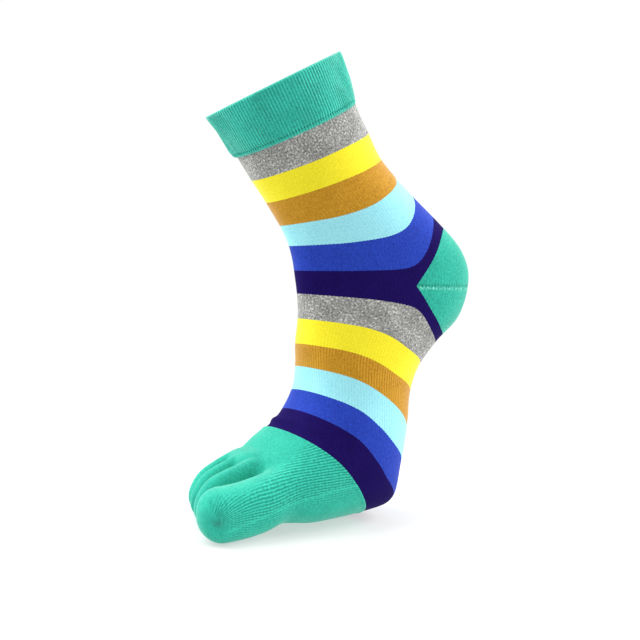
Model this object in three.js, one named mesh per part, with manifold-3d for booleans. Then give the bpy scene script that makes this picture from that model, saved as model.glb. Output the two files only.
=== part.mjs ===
// A knitted toe sock in coloured stripes, with the form that it has on a raised foot.
// Millimetres, +Z up. The toes point to -X and the big-toe side faces -Y.
// The origin is the middle of the leg opening, where the worn sock is held up.

import * as THREE from 'three';
import { mergeVertices } from 'three/addons/utils/BufferGeometryUtils.js';
import Module from 'manifold-3d';

const wasm = await Module();
wasm.setup();

// Sizes of the worn form
const SOCK_HEIGHT = 300; // middle of the leg opening down to the sole under the ball
const SOCK_DEPTH = 200; // scale of every front-to-back place
const LEG_WIDTH = 94; // side to side at the leg opening

// Sizes of the knitting
const CUFF_HEIGHT = 34;
const CUFF_PROUD = 2.6; // how far the cuff's hem stands out over the leg
const HEM_SHARE = 0.1; // rounded hem, as a share of the cuff's height
const MOUTH_PROUD = 0.2; // how proud the cuff's mouth is, as a share of the hem
const CUFF_RIBS = 72; // coarser than the knit's own, which the finish draws
const RIB_DEPTH = 0.7;
const STRIPE_WIDTH = 16.5; // a plain stripe, measured down the front
const TOE_SECTION_LENGTH = 26; // last stripe to the webs between the toes
const WALL = 1.5; // thickness of the knit
const SEAM_GAP = 0.3; // clearance between neighbouring pieces

// Heel pocket
const HEEL_CORNER = 97; // degrees round from the front where its corners sit
const HEEL_RISE = 29.4; // its height over the corners, in courses
const HEEL_DROP = 21; // its depth under the corners, in courses
const LEG_BEND = { reach: 62, fade: 0.75, power: 4.4, spread: 124, blend: 49, round: 0.005 };
const FOOT_BEND = { reach: 130, fade: 0.75, power: 3.6, spread: 137, blend: 51, round: 0.001 };
// reach: how far from the corners the stripes still bend, in courses, and fade its falloff;
// power: how full the pocket's edge is; spread: degrees from the back that far stripes bend
// over; blend: courses from the pocket's edge shape to the far one; round: how much softer
// the stripes' corner gets with each course away from the pocket.
const CORNER_SOFTNESS = 0.004; // softening of the corner in the stripes right beside the pocket
const POCKET_GAP = 0.5; // clearance to the ankle band, along the knit
const CORNER_SETBACK = 0.2; // how far the pocket stops short of its corners, in columns

// Toes
const BALL_NOSE = 5; // how far the closed front of the ball bulges past its last ring
const TOE_NOSE = 0.24; // rounded end of a toe, as a share of its length
const TOE_ARCH = 4; // how far the sole lifts between the ball and the toe pads
const TOE_ROOT_SCALE = 0.72; // a toe's section where it starts, inside the ball
const TOE_ROOT_END = 0.35; // share of a toe's length where it has its full section
const TOE_PAD = 0.7; // share of a toe's length where its pad meets the ground

// Stripes in order down the sock: name, colour, width as a share of STRIPE_WIDTH
const GREY = 0xa3a4a4;
const YELLOW = 0xf5ea33;
const OCHRE = 0xc8902a;
const SKY = 0x9fe6f0;
const BLUE = 0x2a46b9;
const NAVY = 0x221457;
const TEAL = 0x37c09c;
const LEG_STRIPES = [
  ['leg_band_grey', GREY, 1.0],
  ['leg_band_yellow', YELLOW, 1.09],
  ['leg_band_ochre', OCHRE, 1.09],
  ['leg_band_sky', SKY, 1.03],
  ['leg_band_blue', BLUE, 0.98],
];
const ANKLE_SHARE = 1.0;
const FOOT_STRIPES = [
  ['foot_band_grey', GREY, 1.01],
  ['foot_band_yellow', YELLOW, 1.01],
  ['foot_band_ochre', OCHRE, 0.99],
  ['foot_band_sky', SKY, 0.96],
  ['foot_band_blue', BLUE, 0.97],
  ['foot_band_navy', NAVY, 0.85],
];

// Slip of the worn courses down the form, where the knit isn't stretched evenly.
// at: share of the knit's whole length; front, rear: millimetres in front of the ankle and
// behind it.
const SLIP_COLUMNS = ['at', 'front', 'rear'];
const SLIP = [
  [0.132, 0, 0],
  [0.194, 0.85, -0.3],
  [0.265, 0, 0.3],
  [0.335, -0.55, 1.2],
  [0.401, -2.2, -0.4],
  [0.464, -0.65, 0],
  [0.496, 0, 0],
  [0.528, -1.1, -2.2],
  [0.593, -1.4, -2.7],
  [0.658, -1.0, -1.9],
  [0.721, -1.5, 0],
  [0.783, -1.6, -1.3],
  [0.845, -3.5, -1.5],
  [0.899, -0.65, -0.8],
  [1.0, 0, 0],
];
const FRONT_SLIP_END = [66, 111]; // degrees from the front over which the front slip fades
const REAR_SLIP_START = [95, 135]; // and over which the rear slip grows

// Rings of the worn form, each a tilted section through a front and a back point.
// at: share of the knit's whole length; X: of SOCK_DEPTH; Z: of SOCK_HEIGHT;
// half, side: half-width and sideways place, of LEG_WIDTH; roll, yaw: degrees;
// egg: how much wider the front is; square: power of the section, 2 is an ellipse.
const COLUMNS = [
  'at', 'frontX', 'frontZ', 'backX', 'backZ', 'half', 'side', 'roll', 'yaw', 'egg', 'square',
];
const RINGS = [
  [0.0, -0.234, -0.062, 0.231, 0.063, 0.495, 0.0, -14, 0, 0.0, 2.0],
  [0.132, -0.14, -0.157, 0.275, -0.05, 0.447, -0.064, -11, 0, 0.0, 2.0],
  [0.195, -0.1, -0.207, 0.32, -0.117, 0.42, -0.096, -10, 0, 0.03, 2.0],
  [0.256, -0.06, -0.253, 0.365, -0.175, 0.404, -0.128, -10, 0, 0.05, 2.0],
  [0.298, -0.035, -0.287, 0.43, -0.223, 0.394, -0.16, -10, 0, 0.06, 2.0],
  [0.333, -0.015, -0.313, 0.51, -0.28, 0.388, -0.181, -10, 0, 0.06, 2.0],
  [0.368, 0.003, -0.34, 0.585, -0.333, 0.383, -0.202, -9, 0, 0.06, 2.0],
  [0.426, 0.025, -0.387, 0.68, -0.407, 0.383, -0.213, -8, 0, 0.06, 2.0],
  [0.496, 0.035, -0.445, 0.705, -0.493, 0.383, -0.223, -8, 0, 0.04, 2.0],
  [0.543, 0.037, -0.487, 0.66, -0.567, 0.383, -0.234, -8, 0, 0.02, 2.0],
  [0.601, 0.04, -0.54, 0.555, -0.623, 0.383, -0.245, -9, 0, 0.0, 2.0],
  [0.655, 0.037, -0.587, 0.484, -0.67, 0.388, -0.255, -9, 0, 0.0, 2.0],
  [0.705, 0.043, -0.63, 0.445, -0.73, 0.404, -0.255, -9, 1, -0.03, 2.0],
  [0.76, 0.043, -0.68, 0.427, -0.807, 0.426, -0.255, -8, 3, -0.06, 2.1],
  [0.804, 0.03, -0.718, 0.406, -0.89, 0.457, -0.255, -6, 5, -0.1, 2.2],
  [0.866, -0.013, -0.763, 0.347, -0.977, 0.479, -0.255, -3, 8, -0.1, 2.3],
  [0.911, -0.06, -0.788, 0.235, -1.003, 0.484, -0.255, -1, 8, -0.1, 2.4],
  [0.95, -0.102, -0.808, 0.1, -1.007, 0.484, -0.255, -1, 5, -0.1, 2.5],
  [0.977, -0.13, -0.83, -0.015, -1.002, 0.474, -0.255, -1, 2, -0.1, 2.5],
  [1.0, -0.14, -0.857, -0.09, -0.983, 0.45, -0.255, -1, 0, -0.1, 2.5],
];

// Toes: X of SOCK_DEPTH, Z of SOCK_HEIGHT, side and half-width of LEG_WIDTH.
const TOE_COLUMNS = ['rootSide', 'tipSide', 'half', 'tipX', 'rootTopZ', 'midTopZ', 'tipTopZ', 'soleZ'];
const TOES = {
  big_toe_pocket: [-0.567, -0.6, 0.172, -0.425, -0.797, -0.85, -0.862, -0.985],
  second_toe_pocket: [-0.305, -0.31, 0.083, -0.383, -0.8, -0.85, -0.887, -0.985],
  third_toe_pocket: [-0.135, -0.135, 0.08, -0.36, -0.803, -0.848, -0.893, -0.985],
  fourth_toe_pocket: [0.03, 0.035, 0.078, -0.333, -0.807, -0.858, -0.903, -0.985],
  little_toe_pocket: [0.19, 0.2, 0.073, -0.275, -0.84, -0.893, -0.92, -0.985],
};
const TOE_ROOT_X = -0.06; // where every toe starts inside the ball, of SOCK_DEPTH
const TOE_SQUARE = 2.3;

// How finely the faceted pieces are made
const RING_COLUMNS = 32;
const STRIPE_ROWS = 2;
const HEEL_ROWS = 5;
const BALL_ROWS = 4;
const TOE_STATIONS = [0, 0.27, 0.52, 0.76, 0.87, 0.94, 0.985];
const TOE_SIDES = 12;

const sum = (values) => values.reduce((total, value) => total + value, 0);
const stripeLengths = (stripes) => sum(stripes.map(([, , share]) => share * STRIPE_WIDTH));
const ANKLE_START = CUFF_HEIGHT + stripeLengths(LEG_STRIPES);
const GORE_COURSE = ANKLE_START + (ANKLE_SHARE * STRIPE_WIDTH) / 2;
const FOOT_START = ANKLE_START + ANKLE_SHARE * STRIPE_WIDTH;
const TOE_SECTION_START = FOOT_START + stripeLengths(FOOT_STRIPES);
const KNIT_LENGTH = TOE_SECTION_START + TOE_SECTION_LENGTH;

/** One value of the ring table at a share of the knit's length: a cubic through the rows. */
function ringValue(at, column) {
  const x = THREE.MathUtils.clamp(at, 0, 1);
  let row = 0;
  while (row < RINGS.length - 2 && RINGS[row + 1][0] <= x) row += 1;
  const slope = (i) => (RINGS[i + 1][column] - RINGS[i][column]) / (RINGS[i + 1][0] - RINGS[i][0]);
  const tangent = (i) => {
    if (i === 0) return slope(0);
    if (i === RINGS.length - 1) return slope(i - 1);
    const before = RINGS[i][0] - RINGS[i - 1][0];
    const after = RINGS[i + 1][0] - RINGS[i][0];
    return (slope(i - 1) * after + slope(i) * before) / (before + after);
  };
  const span = RINGS[row + 1][0] - RINGS[row][0];
  const t = (x - RINGS[row][0]) / span;
  const from = RINGS[row][column];
  const to = RINGS[row + 1][column];
  return (
    (2 * t ** 3 - 3 * t ** 2 + 1) * from
    + (t ** 3 - 2 * t ** 2 + t) * span * tangent(row)
    + (3 * t ** 2 - 2 * t ** 3) * to
    + (t ** 3 - t ** 2) * span * tangent(row + 1)
  );
}

/** The tilted ring at a distance down the knit, in millimetres. */
function ringAt(distance) {
  const at = distance / KNIT_LENGTH;
  const value = (name) => ringValue(at, COLUMNS.indexOf(name));
  const front = new THREE.Vector3(value('frontX') * SOCK_DEPTH, 0, value('frontZ') * SOCK_HEIGHT);
  const back = new THREE.Vector3(value('backX') * SOCK_DEPTH, 0, value('backZ') * SOCK_HEIGHT);
  const turn = new THREE.Quaternion().setFromEuler(new THREE.Euler(
    THREE.MathUtils.degToRad(value('roll')),
    0,
    THREE.MathUtils.degToRad(value('yaw')),
    'ZYX',
  ));
  const forward = front.clone().sub(back).normalize().applyQuaternion(turn);
  const sideways = new THREE.Vector3(0, -1, 0).applyQuaternion(turn);
  return {
    centre: front.clone().add(back).multiplyScalar(0.5).setY(value('side') * LEG_WIDTH),
    forward,
    sideways,
    along: sideways.clone().cross(forward),
    depth: front.distanceTo(back) / 2,
    half: value('half') * LEG_WIDTH,
    egg: value('egg'),
    square: value('square'),
  };
}

const signedPower = (value, power) => Math.sign(value) * Math.abs(value) ** power;

/** A point of the worn form: distance down the knit, degrees round, and depth under the skin. */
function formPoint(distance, angle, inset = 0, shrink = 1, advance = 0) {
  const ring = ringAt(distance);
  const turn = THREE.MathUtils.degToRad(angle);
  const cosine = signedPower(Math.cos(turn), 2 / ring.square);
  const sine = signedPower(Math.sin(turn), 2 / ring.square);
  const forward = (ring.depth - inset) * cosine * shrink;
  const sideways = (ring.half - inset) * sine * (1 - ring.egg * cosine) * shrink;
  return ring.centre
    .clone()
    .addScaledVector(ring.forward, forward)
    .addScaledVector(ring.sideways, sideways)
    .addScaledVector(ring.along, advance);
}

/** The smaller of a value and 1, with its corner softened; 0 softness leaves it sharp. */
function softLimit(value, softness) {
  if (softness === 0) return Math.min(value, 1);
  const limited = -softness * Math.log(Math.exp(-value / softness) + Math.exp(-1 / softness));
  return THREE.MathUtils.clamp(limited, 0, 1);
}

/** Share of the heel pocket's height that stands over or under its corners at an angle. */
function pocketShare(course, angle, belowGore) {
  const fromBack = Math.abs(angle - 180);
  const away = Math.abs(course - GORE_COURSE);
  const bend = belowGore ? FOOT_BEND : LEG_BEND;
  const softness = away > 0 ? CORNER_SOFTNESS + bend.round * away : 0;
  const near = 1 - softLimit(fromBack / (180 - HEEL_CORNER), softness) ** bend.power;
  const far = 0.5 + 0.5 * Math.cos(Math.PI * Math.min(fromBack / bend.spread, 1));
  const blend = Math.min(away / bend.blend, 1);
  return near * (1 - blend) + far * blend;
}

/** How far a course has slipped down the form at an angle, between the rows of the table. */
function courseSlip(course, angle) {
  const at = THREE.MathUtils.clamp(course / KNIT_LENGTH, SLIP[0][0], 1);
  const next = Math.max(SLIP.findIndex((row) => row[0] >= at), 1);
  const value = (name) => {
    const column = SLIP_COLUMNS.indexOf(name);
    const [from, to] = [SLIP[next - 1], SLIP[next]];
    return THREE.MathUtils.mapLinear(at, from[0], to[0], from[column], to[column]);
  };
  const fromFront = 180 - Math.abs(angle - 180);
  const front = 1 - THREE.MathUtils.smoothstep(fromFront, ...FRONT_SLIP_END);
  const rear = THREE.MathUtils.smoothstep(fromFront, ...REAR_SLIP_START);
  return value('front') * front + value('rear') * rear;
}

/** Where a knitted course lies down the form: the courses bend round the heel pocket. */
function courseDistance(course, angle, belowGore = course > GORE_COURSE) {
  const { reach, fade } = belowGore ? FOOT_BEND : LEG_BEND;
  const left = Math.max(1 - Math.abs(course - GORE_COURSE) / reach, 0) ** fade;
  const share = pocketShare(course, angle, belowGore) * left;
  const bent = belowGore ? course + HEEL_DROP * share : course - HEEL_RISE * share;
  return bent + courseSlip(course, angle);
}

/** Degrees round the form for a ring of nodes, with two of them on the heel's corners. */
function ringAngles() {
  const steps = RING_COLUMNS / 4;
  const medial = [];
  for (let step = 0; step < steps; step += 1) medial.push((HEEL_CORNER * step) / steps);
  for (let step = 0; step < steps; step += 1) {
    medial.push(HEEL_CORNER + ((180 - HEEL_CORNER) * step) / steps);
  }
  const lateral = medial.slice(1).reverse().map((angle) => 360 - angle);
  return [...medial, 180, ...lateral];
}

/** Evenly spaced values from one end to the other, both ends included. */
function spread(from, to, spans) {
  return Array.from({ length: spans + 1 }, (_, i) => THREE.MathUtils.lerp(from, to, i / spans));
}

/** An outer and an inner point of the knit where a course crosses an angle. */
function knitNode(distance, angle, proud = 0) {
  return { outer: formPoint(distance, angle, -proud), inner: formPoint(distance, angle, WALL) };
}

/** Rows of nodes between two courses, on one side of the heel's gore. */
function courseRows(from, to, spans, belowGore) {
  return spread(from, to, spans).map((course) => ringAngles().map((angle) => (
    knitNode(courseDistance(course, angle, belowGore), angle)
  )));
}

/**
 * A closed wall of knit. Each patch is rows of nodes, round the form where it is closed.
 * Patches that share nodes are joined, and the two skins are joined along every free edge.
 */
function knitWall(patches) {
  const ids = new Map();
  const nodes = [];
  const idOf = (node) => {
    const key = node.outer.toArray().map((value) => value.toFixed(3)).join();
    if (!ids.has(key)) ids.set(key, nodes.push(node) - 1);
    return ids.get(key);
  };
  const faces = [];
  const addFace = (a, b, c) => {
    if (a !== b && b !== c && c !== a) faces.push([a, b, c]);
  };
  for (const { rows, closed } of patches) {
    const columns = rows[0].length;
    for (let r = 0; r < rows.length - 1; r += 1) {
      for (let c = 0; c < (closed ? columns : columns - 1); c += 1) {
        const next = (c + 1) % columns;
        const corners = [rows[r][c], rows[r + 1][c], rows[r + 1][next], rows[r][next]];
        const [a, b, d, e] = corners.map(idOf);
        addFace(a, b, d);
        addFace(a, d, e);
      }
    }
  }
  const edges = new Set(faces.flatMap(([a, b, c]) => [`${a} ${b}`, `${b} ${c}`, `${c} ${a}`]));
  const count = nodes.length;
  const index = faces.flatMap(([a, b, c]) => [a, b, c, c + count, b + count, a + count]);
  for (const edge of edges) {
    const [a, b] = edge.split(' ').map(Number);
    if (!edges.has(`${b} ${a}`)) index.push(b, a, a + count, b, a + count, b + count);
  }
  const points = [...nodes.map((node) => node.outer), ...nodes.map((node) => node.inner)];
  return indexedGeometry(points, index);
}

function indexedGeometry(points, index) {
  const geometry = new THREE.BufferGeometry();
  const positions = points.flatMap((point) => point.toArray());
  geometry.setAttribute('position', new THREE.Float32BufferAttribute(positions, 3));
  geometry.setIndex(index);
  return geometry;
}

/** A closed solid through rows of points, with a fan over each end. */
function loft(rows) {
  const columns = rows[0].length;
  const middle = (row) => (
    row.reduce((total, point) => total.add(point), new THREE.Vector3()).divideScalar(columns)
  );
  const points = [...rows.flat(), middle(rows[0]), middle(rows[rows.length - 1])];
  const index = [];
  for (let c = 0; c < columns; c += 1) {
    const next = (c + 1) % columns;
    for (let r = 0; r < rows.length - 1; r += 1) {
      const [a, b] = [r * columns + c, (r + 1) * columns + c];
      const [d, e] = [(r + 1) * columns + next, r * columns + next];
      index.push(a, b, d, a, d, e);
    }
    const last = (rows.length - 1) * columns;
    index.push(points.length - 2, c, next, last + next, last + c, points.length - 1);
  }
  return indexedGeometry(points, index);
}

function solidOf(geometry) {
  const merged = mergeVertices(geometry, 1e-4);
  const mesh = new wasm.Mesh({
    numProp: 3,
    vertProperties: new Float32Array(merged.attributes.position.array),
    triVerts: new Uint32Array(merged.index.array),
  });
  mesh.merge();
  return new wasm.Manifold(mesh);
}

function geometryOf(solid) {
  const mesh = solid.getMesh();
  const geometry = new THREE.BufferGeometry();
  geometry.setAttribute('position', new THREE.Float32BufferAttribute(mesh.vertProperties, 3));
  geometry.setIndex([...mesh.triVerts]);
  return geometry;
}

/** A plain stripe of the leg or the foot. */
function stripeGeometry(from, to) {
  const rows = courseRows(from + SEAM_GAP / 2, to - SEAM_GAP / 2, STRIPE_ROWS, from >= FOOT_START);
  return knitWall([{ rows, closed: true }]);
}

/** The double cuff: vertical ribs outside, a hem that stands proud of the leg. */
function cuffGeometry() {
  const angles = spread(0, 360, 2 * CUFF_RIBS).slice(0, -1);
  const profile = [
    [0, CUFF_PROUD * MOUTH_PROUD],
    [CUFF_HEIGHT * (1 - HEM_SHARE), CUFF_PROUD],
    [CUFF_HEIGHT - SEAM_GAP / 2, CUFF_PROUD * 0.6],
  ];
  const rows = profile.map(([distance, proud]) => angles.map((angle, i) => (
    knitNode(distance, angle, proud + (i % 2 ? -RIB_DEPTH / 2 : RIB_DEPTH / 2))
  )));
  return knitWall([{ rows, closed: true }]);
}

/** The navy ankle band: whole in front, two arms round the heel pocket behind. */
function ankleGeometry() {
  const upper = courseRows(ANKLE_START + SEAM_GAP / 2, GORE_COURSE, STRIPE_ROWS, false);
  const lower = courseRows(GORE_COURSE, FOOT_START - SEAM_GAP / 2, STRIPE_ROWS, true);
  return knitWall([{ rows: upper, closed: true }, { rows: lower, closed: true }]);
}

/** The lens-shaped heel pocket, set between the two arms of the ankle band. */
function heelGeometry() {
  const inside = ringAngles().filter((angle) => angle >= HEEL_CORNER && angle <= 360 - HEEL_CORNER);
  const rowAt = (down) => {
    const nodes = inside.map((angle) => {
      const top = courseDistance(GORE_COURSE, angle, false) + POCKET_GAP;
      const bottom = courseDistance(GORE_COURSE, angle, true) - POCKET_GAP;
      return knitNode(THREE.MathUtils.lerp(top, bottom, down), angle);
    });
    const between = (from, to) => ({
      outer: from.outer.clone().lerp(to.outer, CORNER_SETBACK),
      inner: from.inner.clone().lerp(to.inner, CORNER_SETBACK),
    });
    const last = nodes.length - 1;
    const start = between(nodes[0], nodes[1]);
    const end = between(nodes[last], nodes[last - 1]);
    return [start, ...nodes.slice(1, last), end];
  };
  return knitWall([{ rows: spread(0, 1, HEEL_ROWS).map(rowAt), closed: false }]);
}

/** Rows of the ball's closed front: a shallow dome past its last ring, up to a last angle. */
function ballNoseRows(lastDegrees, nodeAt) {
  return [30, 60, lastDegrees].map((degrees) => {
    const rise = THREE.MathUtils.degToRad(degrees);
    const shrink = degrees === 90 ? 0 : Math.cos(rise);
    return ringAngles().map((angle) => nodeAt(angle, shrink, BALL_NOSE * Math.sin(rise)));
  });
}

const BALL_COURSES = spread(TOE_SECTION_START + SEAM_GAP / 2, KNIT_LENGTH, BALL_ROWS);

/** The open-backed wall over the ball of the foot, before the toes are let in. */
function ballWall() {
  const rows = BALL_COURSES.map((course) => ringAngles().map((angle) => (
    knitNode(courseDistance(course, angle, true), angle)
  )));
  const nose = ballNoseRows(90, (angle, shrink, advance) => ({
    outer: formPoint(KNIT_LENGTH, angle, 0, shrink, advance),
    inner: formPoint(KNIT_LENGTH, angle, WALL, shrink, advance - WALL),
  }));
  return solidOf(knitWall([{ rows: [...rows, ...nose], closed: true }]));
}

/** The ball as a filled solid, grown by a margin all round. */
function ballFilled(grown) {
  const behind = BALL_COURSES[0] - TOE_SECTION_LENGTH / 2;
  const rows = [behind, ...BALL_COURSES].map((course) => ringAngles().map((angle) => (
    formPoint(courseDistance(course, angle, true), angle, -grown)
  )));
  const nose = ballNoseRows(88, (angle, shrink, advance) => (
    formPoint(KNIT_LENGTH, angle, -grown, shrink, advance + grown)
  ));
  return solidOf(loft([...rows, ...nose]));
}

/** One toe as a filled solid, from inside the ball to its rounded end. */
function toeFilled(name, inset) {
  const toe = Object.fromEntries(TOE_COLUMNS.map((column, i) => [column, TOES[name][i]]));
  const rootX = TOE_ROOT_X * SOCK_DEPTH;
  const tipX = toe.tipX * SOCK_DEPTH + inset;
  const rows = TOE_STATIONS.map((t) => {
    const topShare = (
      toe.rootTopZ * (1 - t) * (1 - 2 * t) + toe.midTopZ * 4 * t * (1 - t) + toe.tipTopZ * t * (2 * t - 1)
    );
    const top = topShare * SOCK_HEIGHT;
    const sole = toe.soleZ * SOCK_HEIGHT + TOE_ARCH * Math.max(1 - t / TOE_PAD, 0) ** 2;
    const noseShare = Math.max(t - (1 - TOE_NOSE), 0) / TOE_NOSE;
    const root = THREE.MathUtils.smoothstep(t, 0, TOE_ROOT_END);
    const scale = Math.sqrt(1 - noseShare ** 2) * THREE.MathUtils.lerp(TOE_ROOT_SCALE, 1, root);
    const side = THREE.MathUtils.lerp(toe.rootSide, toe.tipSide, t) * LEG_WIDTH;
    const high = ((top - sole) / 2 - inset) * scale;
    const wide = (toe.half * LEG_WIDTH - inset) * scale;
    return Array.from({ length: TOE_SIDES }, (_, i) => {
      const turn = (2 * Math.PI * i) / TOE_SIDES;
      return new THREE.Vector3(
        THREE.MathUtils.lerp(rootX, tipX, t),
        side - wide * signedPower(Math.sin(turn), 2 / TOE_SQUARE),
        (top + sole) / 2 + high * signedPower(Math.cos(turn), 2 / TOE_SQUARE),
      );
    });
  });
  return solidOf(loft(rows));
}

/** Soft knitted yarn in one colour. */
function yarn(color) {
  return new THREE.MeshStandardMaterial({ color, roughness: 0.92, metalness: 0 });
}

const sock = new THREE.Group();

function addPiece(name, geometry, color) {
  const mesh = new THREE.Mesh(geometry, yarn(color));
  mesh.name = name;
  sock.add(mesh);
}

/** Adds a run of plain stripes and returns the course where it ends. */
function addStripes(stripes, start) {
  let course = start;
  for (const [name, color, share] of stripes) {
    const end = course + share * STRIPE_WIDTH;
    addPiece(name, stripeGeometry(course, end), color);
    course = end;
  }
  return course;
}

addPiece('cuff', cuffGeometry(), TEAL);
addStripes(LEG_STRIPES, CUFF_HEIGHT);
addPiece('ankle_band_navy', ankleGeometry(), NAVY);
addPiece('heel_pocket', heelGeometry(), TEAL);
addStripes(FOOT_STRIPES, FOOT_START);

let ball = ballWall();
const ballGrown = ballFilled(SEAM_GAP);
for (const name of Object.keys(TOES)) {
  const hollow = toeFilled(name, WALL);
  const pocket = toeFilled(name, 0).subtract(hollow).subtract(ballGrown);
  ball = ball.subtract(hollow);
  addPiece(name, geometryOf(pocket), TEAL);
}
addPiece('toe_section', geometryOf(ball), TEAL);

export default sock;
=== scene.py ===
import bmesh
import bpy
import numpy as np
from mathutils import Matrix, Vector


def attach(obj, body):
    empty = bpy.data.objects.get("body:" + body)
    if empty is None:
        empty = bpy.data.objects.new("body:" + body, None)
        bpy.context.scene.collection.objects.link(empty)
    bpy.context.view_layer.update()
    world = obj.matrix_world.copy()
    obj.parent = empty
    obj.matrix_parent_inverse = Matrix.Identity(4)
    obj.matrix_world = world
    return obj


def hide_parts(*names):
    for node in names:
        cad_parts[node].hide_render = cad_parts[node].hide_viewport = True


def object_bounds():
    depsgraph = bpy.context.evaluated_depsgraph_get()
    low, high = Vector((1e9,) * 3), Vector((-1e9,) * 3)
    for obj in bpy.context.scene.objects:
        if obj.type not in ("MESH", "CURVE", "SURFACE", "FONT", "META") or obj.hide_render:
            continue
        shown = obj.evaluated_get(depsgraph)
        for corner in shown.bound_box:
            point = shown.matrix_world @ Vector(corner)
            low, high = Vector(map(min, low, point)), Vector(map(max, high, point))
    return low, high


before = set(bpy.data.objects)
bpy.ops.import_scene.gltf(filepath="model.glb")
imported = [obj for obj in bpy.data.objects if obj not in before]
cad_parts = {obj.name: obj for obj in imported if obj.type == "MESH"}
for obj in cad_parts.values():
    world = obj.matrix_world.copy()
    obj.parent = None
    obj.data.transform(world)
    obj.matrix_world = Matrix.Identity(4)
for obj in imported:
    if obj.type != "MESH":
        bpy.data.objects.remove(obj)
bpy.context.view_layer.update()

MM = 0.001

# Sizes of the worn form, as in the part
SOCK_HEIGHT, SOCK_DEPTH, LEG_WIDTH = 300, 200, 94
CUFF_HEIGHT, CUFF_PROUD, STRIPE_WIDTH, TOE_SECTION_LENGTH, WALL = 34, 2.6, 16.5, 26, 1.5
CORNER_SOFTNESS = 0.004  # least rounding of the stripes' corner beside the heel pocket
BALL_NOSE, TOE_NOSE, TOE_ARCH = 5, 0.24, 4
TOE_ROOT_X, TOE_ROOT_SCALE, TOE_ROOT_END, TOE_PAD, TOE_SQUARE = -0.06, 0.72, 0.35, 0.7, 2.3

# The heel pocket: degrees from the front to its corners, and millimetres to its upper and its
# lower edge at the back. These three, the bends below, and the millimetres and limits of SLIP
# aren't chosen by hand: a least-squares fit to stripe edges read off the photo gave them, and
# they are rounded. The part has the values of an earlier fit of the same kind.
HEEL_CORNER, HEEL_RISE, HEEL_DROP = 95, 30.9, 21.5

# The bends of the courses over and under the pocket. A bend fades out over its reach. It follows
# a power of the pocket's edge, and goes over, within the blend's length, into a cosine as wide as
# the spread. Its corner gets rounder, and lies some degrees later.
LEG_BEND = {
    "reach": 62, "fade": 0.79, "power": 3.5, "spread": 131, "blend": 44, "round": 0.005, "later": 0.6,
}
FOOT_BEND = {
    "reach": 130, "fade": 0.78, "power": 3.15, "spread": 135, "blend": 55, "round": 0.005, "later": 5.6,
}
LATER_WITHIN = 8  # length of knit in which a bend's corner gets to its later place

# Rings, as in the part: share of the knit's length, then X and Z of the front and the back in
# depths and heights of the sock, half-width and side place in widths of the leg, roll and yaw in
# degrees, egg and square
RINGS = np.array([
    [0.0, -0.234, -0.062, 0.231, 0.063, 0.495, 0.0, -14, 0, 0.0, 2.0],
    [0.132, -0.14, -0.157, 0.275, -0.05, 0.447, -0.064, -11, 0, 0.0, 2.0],
    [0.195, -0.1, -0.207, 0.32, -0.117, 0.42, -0.096, -10, 0, 0.03, 2.0],
    [0.256, -0.06, -0.253, 0.365, -0.175, 0.404, -0.128, -10, 0, 0.05, 2.0],
    [0.298, -0.035, -0.287, 0.43, -0.223, 0.394, -0.16, -10, 0, 0.06, 2.0],
    [0.333, -0.015, -0.313, 0.51, -0.28, 0.388, -0.181, -10, 0, 0.06, 2.0],
    [0.368, 0.003, -0.34, 0.585, -0.333, 0.383, -0.202, -9, 0, 0.06, 2.0],
    [0.426, 0.025, -0.387, 0.68, -0.407, 0.383, -0.213, -8, 0, 0.06, 2.0],
    [0.496, 0.035, -0.445, 0.705, -0.493, 0.383, -0.223, -8, 0, 0.04, 2.0],
    [0.543, 0.037, -0.487, 0.66, -0.567, 0.383, -0.234, -8, 0, 0.02, 2.0],
    [0.601, 0.04, -0.54, 0.555, -0.623, 0.383, -0.245, -9, 0, 0.0, 2.0],
    [0.655, 0.037, -0.587, 0.484, -0.67, 0.388, -0.255, -9, 0, 0.0, 2.0],
    [0.705, 0.043, -0.63, 0.445, -0.73, 0.404, -0.255, -9, 1, -0.03, 2.0],
    [0.76, 0.043, -0.68, 0.427, -0.807, 0.426, -0.255, -8, 3, -0.06, 2.1],
    [0.804, 0.03, -0.718, 0.406, -0.89, 0.457, -0.255, -6, 5, -0.1, 2.2],
    [0.866, -0.013, -0.763, 0.347, -0.977, 0.479, -0.255, -3, 8, -0.1, 2.3],
    [0.911, -0.06, -0.788, 0.235, -1.003, 0.484, -0.255, -1, 8, -0.1, 2.4],
    [0.95, -0.102, -0.808, 0.1, -1.007, 0.484, -0.255, -1, 5, -0.1, 2.5],
    [0.977, -0.13, -0.83, -0.015, -1.002, 0.474, -0.255, -1, 2, -0.1, 2.5],
    [1.0, -0.14, -0.857, -0.09, -0.983, 0.45, -0.255, -1, 0, -0.1, 2.5],
])

# Toes, a little rounder than in the part: root and tip side place and half-width of the leg's
# width, tip X of the depth, then the top's Z at root, middle and tip, and the sole's Z, of the height
TOES = {
    "big_toe_pocket": (-0.567, -0.6, 0.172, -0.427, -0.817, -0.857, -0.853, -0.985),
    "second_toe_pocket": (-0.31, -0.316, 0.092, -0.383, -0.833, -0.845, -0.885, -0.985),
    "third_toe_pocket": (-0.135, -0.135, 0.08, -0.36, -0.822, -0.846, -0.891, -0.985),
    "fourth_toe_pocket": (0.03, 0.035, 0.078, -0.333, -0.826, -0.854, -0.903, -0.985),
    "little_toe_pocket": (0.19, 0.2, 0.073, -0.275, -0.84, -0.893, -0.92, -0.985),
}

# Lift of the sole and scale of the root, for the toes that differ from TOE_ARCH and TOE_ROOT_SCALE
TOE_ROOTS = {"big_toe_pocket": (8, 0.86), "second_toe_pocket": (TOE_ARCH, 0.9)}

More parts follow.
